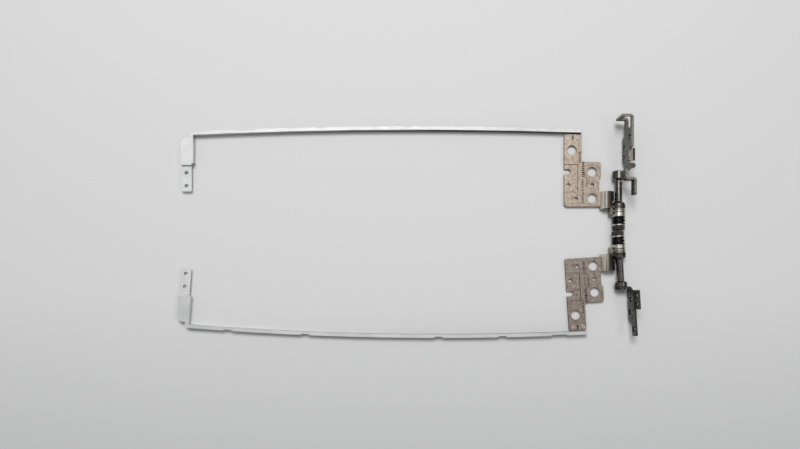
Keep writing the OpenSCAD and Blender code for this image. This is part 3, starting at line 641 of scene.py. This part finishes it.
WASHER_EDGE = 0.05 * MM
AXIS_HEIGHT = 3.15 * MM
RING_REACH = 3.2 * MM
STOP_TAB, STOP_RING = range(2)
GROUND_STEEL = metal("ground_steel", (0.68, 0.65, 0.59), (0.46, 0.435, 0.385), (0.22, 0.2, 0.18),
                     (0.26, 0.38), clouds=500, scales=(1500, 12000, 1500), edge_strength=0.7,
                     relief=0.0015 * MM)
TAB_GREEN_REFLECTION = metal("painted_green_reflection", (0.30, 0.298, 0.235), (0.17, 0.168, 0.13), (0.12, 0.12, 0.09),
                       (0.26, 0.42), clouds=600, scales=(1500, 9000, 1500), edge_strength=0.5)
GREY_STEEL = metal("grey_washer_steel", (0.50, 0.475, 0.43), (0.31, 0.295, 0.26), (0.16, 0.15, 0.13),
                   (0.26, 0.38), clouds=500, scales=(1500, 12000, 1500), edge_strength=0.7,
                   relief=0.0015 * MM)

for side, hinge in (("right", RIGHT_HINGE), ("left", LEFT_HINGE)):
    for washer_name, body, finishes, slot in (
            ("friction_washer", side + "_base_side", [GREY_STEEL], "washer_grey"),
            ("stop_washer", "lid_side", [TAB_GREEN_REFLECTION, GREY_STEEL], "washer_grey"),
            ("cam_washer", side + "_base_side", [GROUND_STEEL], "washer_bright"),
            ("flat_washer", side + "_base_side", [GROUND_STEEL], "washer_bright")):
        washer = dressed(side + "_" + washer_name, WASHER_EDGE)
        for finish in finishes:
            washer.data.materials.append(finish)
        # The stop washer's tab takes the painted green reflection, its ring the plain washer steel
        if washer_name == "stop_washer":
            for face in washer.data.polygons:
                at = hinge.inverted() @ face.center
                in_ring = math.hypot(at.x, at.z - AXIS_HEIGHT) < RING_REACH
                face.material_index = STOP_RING if in_ring else STOP_TAB
        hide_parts(side + "_" + washer_name)
        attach(washer, body)

# Disc springs. Four thin cones of black oiled spring steel on each shaft, stacked as two facing
# pairs and pinched flat by the nut.

SPRING_COUNT = 4
SPRING_PITCH = 0.9 * MM
SPRING_SHEET = 0.5 * MM
SPRING_RIM = 3.05 * MM
SPRING_BORE = 2.05 * MM
SPRING_ROUND = 0.12 * MM
SPRING_MIDDLE = (SPRING_RIM + SPRING_BORE) / 2
SPRING_HALF_WIDTH = (SPRING_RIM - SPRING_BORE) / 2
BLACK_OXIDE = metal("black_oxide", (0.03, 0.03, 0.031), (0.015, 0.015, 0.017), (0.2, 0.2, 0.2),
                    (0.2, 0.4), clouds=600, scales=(1500, 9000, 1500), edge_strength=0.35)

spring_stack, given, put = geometry_tree("disc_spring_stack", [
    ("Springs", "NodeSocketInt"), ("Pitch", "NodeSocketFloat"), ("Middle", "NodeSocketFloat"),
    ("Inner low", "NodeSocketVector"), ("Outer low", "NodeSocketVector"),
    ("Outer high", "NodeSocketVector"), ("Inner high", "NodeSocketVector"),
    ("Rounding", "NodeSocketFloat"), ("Finish", "NodeSocketMaterial")])
section = added(spring_stack, "GeometryNodeCurvePrimitiveQuadrilateral", [
    ("Point 1", given["Inner low"]), ("Point 2", given["Outer low"]),
    ("Point 3", given["Outer high"]), ("Point 4", given["Inner high"])], mode="POINTS")
soft_section = added(spring_stack, "GeometryNodeFilletCurve", [
    ("Curve", section.outputs["Curve"]), ("Count", 3), ("Radius", given["Rounding"])], mode="POLY")
hoop = added(spring_stack, "GeometryNodeCurvePrimitiveCircle", [("Radius", given["Middle"]),
                                                                ("Resolution", 72)])
cone = added(spring_stack, "GeometryNodeCurveToMesh", [
    ("Curve", hoop.outputs["Curve"]), ("Profile Curve", soft_section.outputs["Curve"])])
# Every second spring is turned over, about the middle of its own place in the stack
number = added(spring_stack, "GeometryNodeInputIndex")
odd = added(spring_stack, "ShaderNodeMath", [(0, number.outputs["Index"]), (1, 2.0)],
            operation="MODULO").outputs[0]
pitch = added(spring_stack, "ShaderNodeCombineXYZ", [("Z", given["Pitch"])]).outputs["Vector"]
stations = added(spring_stack, "GeometryNodeMeshLine", [("Count", given["Springs"]),
                                                        ("Offset", pitch)], mode="OFFSET")
lift = added(spring_stack, "ShaderNodeVectorMath", [(0, pitch), ("Scale", odd)], operation="SCALE")
staggered = added(spring_stack, "GeometryNodeSetPosition", [("Geometry", stations.outputs["Mesh"]),
                                                            ("Offset", lift.outputs["Vector"])])
half_turn = added(spring_stack, "ShaderNodeMath", [(0, odd), (1, math.pi)], operation="MULTIPLY")
turned = added(spring_stack, "ShaderNodeCombineXYZ", [("X", half_turn.outputs[0])])
stack = added(spring_stack, "GeometryNodeInstanceOnPoints", [
    ("Points", staggered.outputs["Geometry"]), ("Instance", cone.outputs["Mesh"]),
    ("Rotation", turned.outputs["Vector"])])
realized(spring_stack, stack, put, given["Finish"])

for side, hinge in (("right", RIGHT_HINGE), ("left", LEFT_HINGE)):
    to_hinge = hinge.inverted()
    stack_start = min((to_hinge @ vertex.co).y
                      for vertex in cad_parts[side + "_disc_springs"].data.vertices)
    on_axis = (hinge @ Matrix.Translation((0, stack_start, AXIS_HEIGHT))
               @ Matrix.Rotation(-math.pi / 2, 4, "X"))
    springs = joined(side + "_disc_spring_stack", [grown(spring_stack, {
        "Springs": SPRING_COUNT, "Pitch": SPRING_PITCH, "Middle": SPRING_MIDDLE,
        "Inner low": (SPRING_HALF_WIDTH, 0, 0),
        "Outer low": (-SPRING_HALF_WIDTH, SPRING_SHEET - SPRING_PITCH, 0),
        "Outer high": (-SPRING_HALF_WIDTH, -SPRING_PITCH, 0),
        "Inner high": (SPRING_HALF_WIDTH, -SPRING_SHEET, 0),
        "Rounding": SPRING_ROUND, "Finish": BLACK_OXIDE}, on_axis)], BLACK_OXIDE)
    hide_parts(side + "_disc_springs")
    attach(springs, side + "_base_side")

# Lock nuts. Small hexagon nuts, black zinc plated, screwed on each shaft's threaded end. They set
# the pinch of the stack.

NUT_EDGE = 0.06 * MM
BLACK_ZINC = metal("black_zinc", (0.075, 0.075, 0.077), (0.034, 0.034, 0.035), (0.3, 0.3, 0.3),
                   (0.3, 0.42), clouds=700, edge_strength=0.6)

for side in ("right", "left"):
    nut = dressed(side + "_lock_nut", NUT_EDGE)
    nut.data.materials.append(BLACK_ZINC)
    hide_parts(side + "_lock_nut")
    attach(nut, side + "_base_side")

# Base brackets. Each is folded and pierced from 1.15 mm sheet, plated dark grey and peened on its
# shaft's head. The right one's sheared edges are lighter and a little brown, the left one's are
# dark, and the holes' walls are painted dark as painted shade.

BRACKET_SHEET = 1.15 * MM
BRACKET_EDGE = 0.12 * MM
GUNMETAL = metal("gunmetal_plating", (0.18, 0.18, 0.172), (0.12, 0.12, 0.115), (0.36, 0.35, 0.33),
                 (0.38, 0.52), clouds=260, scales=(3000, 800, 3000), edge_strength=0.45)
SLATE_PLATING = metal("slate_plating", (0.135, 0.137, 0.135), (0.09, 0.091, 0.09), (0.3, 0.3, 0.3),
                      (0.38, 0.52), clouds=260, scales=(3000, 800, 3000), edge_strength=0.4)
# The right bracket's cut edges and its shelf take a near-black edge tone: a dark outline, partly
# painted edge shade
BRACKET_CUT = metal("sheared_bracket_edge", (0.33, 0.315, 0.286), (0.165, 0.154, 0.137),
                    (0.035, 0.03, 0.026), (0.34, 0.5), clouds=900, scales=(2500, 4000, 2500),
                    edge_strength=0.6)
DARK_CUT = metal("dark_sheared_edge", (0.085, 0.084, 0.08), (0.04, 0.039, 0.037), (0.2, 0.19, 0.18),
                 (0.36, 0.52), clouds=900, scales=(2500, 4000, 2500), edge_strength=0.35)
# Hole walls painted near black: painted shade inside the holes
BRACKET_HOLE_SHADE = metal("painted_shade_in_bracket_hole", (0.04, 0.038, 0.035), (0.02, 0.019, 0.018),
                     (0.2, 0.19, 0.18), (0.45, 0.6), clouds=900, edge_strength=0.2)
RUBBED_SHELF = metal("rubbed_shelf", (0.40, 0.365, 0.30), (0.22, 0.2, 0.165), (0.025, 0.02, 0.016),
                     (0.34, 0.5), clouds=500, scales=(600, 5000, 3000), edge_strength=0.6)
# Painted shade at the shelf's end, for the dark recess where it meets the round lobe
LOBE_RECESS_SHADE = metal("painted_shade_at_round_lobe", (0.17, 0.145, 0.12), (0.07, 0.06, 0.05), (0.3, 0.28, 0.25),
                  (0.34, 0.5), clouds=700, scales=(2500, 4000, 2500), edge_strength=0.5)
# The right bracket's shelf is rubbed bare beside its web and is darker further out. Where it meets
# the round lobe, which ends at this place along the shaft, it takes painted shade for the dark recess
# there
SHELF_TOP = 9.65 * MM
SHELF_RUB_ENDS = 109.95 * MM
SHELF_RUB_FADE = 0.2 * MM
SHELF_OUTER_TONE = (0.05, 0.038, 0.03)
LOBE_ENDS = 32 * MM
TOP_TOLERANCE = 0.1 * MM
UPWARDS = 0.95
SHELF_FINISH, LOBE_SHADE_SLOT = 3, 4

shelf_tree = RUBBED_SHELF.node_tree
further_out = remapped(shelf_tree, place_along(shelf_tree, "X"), SHELF_RUB_ENDS,
                  SHELF_RUB_ENDS + SHELF_RUB_FADE)
overlay(RUBBED_SHELF, further_out, SHELF_OUTER_TONE)

for side, plating, cut in (("right", GUNMETAL, BRACKET_CUT), ("left", SLATE_PLATING, DARK_CUT)):
    bracket = dressed(side + "_base_bracket", BRACKET_EDGE, BRACKET_SHEET)
    for finish in (plating, cut, BRACKET_HOLE_SHADE, RUBBED_SHELF, LOBE_RECESS_SHADE):
        bracket.data.materials.append(finish)
    for face in bracket.data.polygons:
        on_shelf = side == "right" and abs(face.center.z - SHELF_TOP) < TOP_TOLERANCE
        if face.normal.z <= UPWARDS:
            if face.material_index == COINED_WALL:
                face.material_index = SHEET_FACE
        elif on_shelf:
            face.material_index = LOBE_SHADE_SLOT if face.center.y < LOBE_ENDS else SHELF_FINISH
        else:
            face.material_index = CUT_EDGE
    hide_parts(side + "_base_bracket")
    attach(bracket, side + "_base_side")
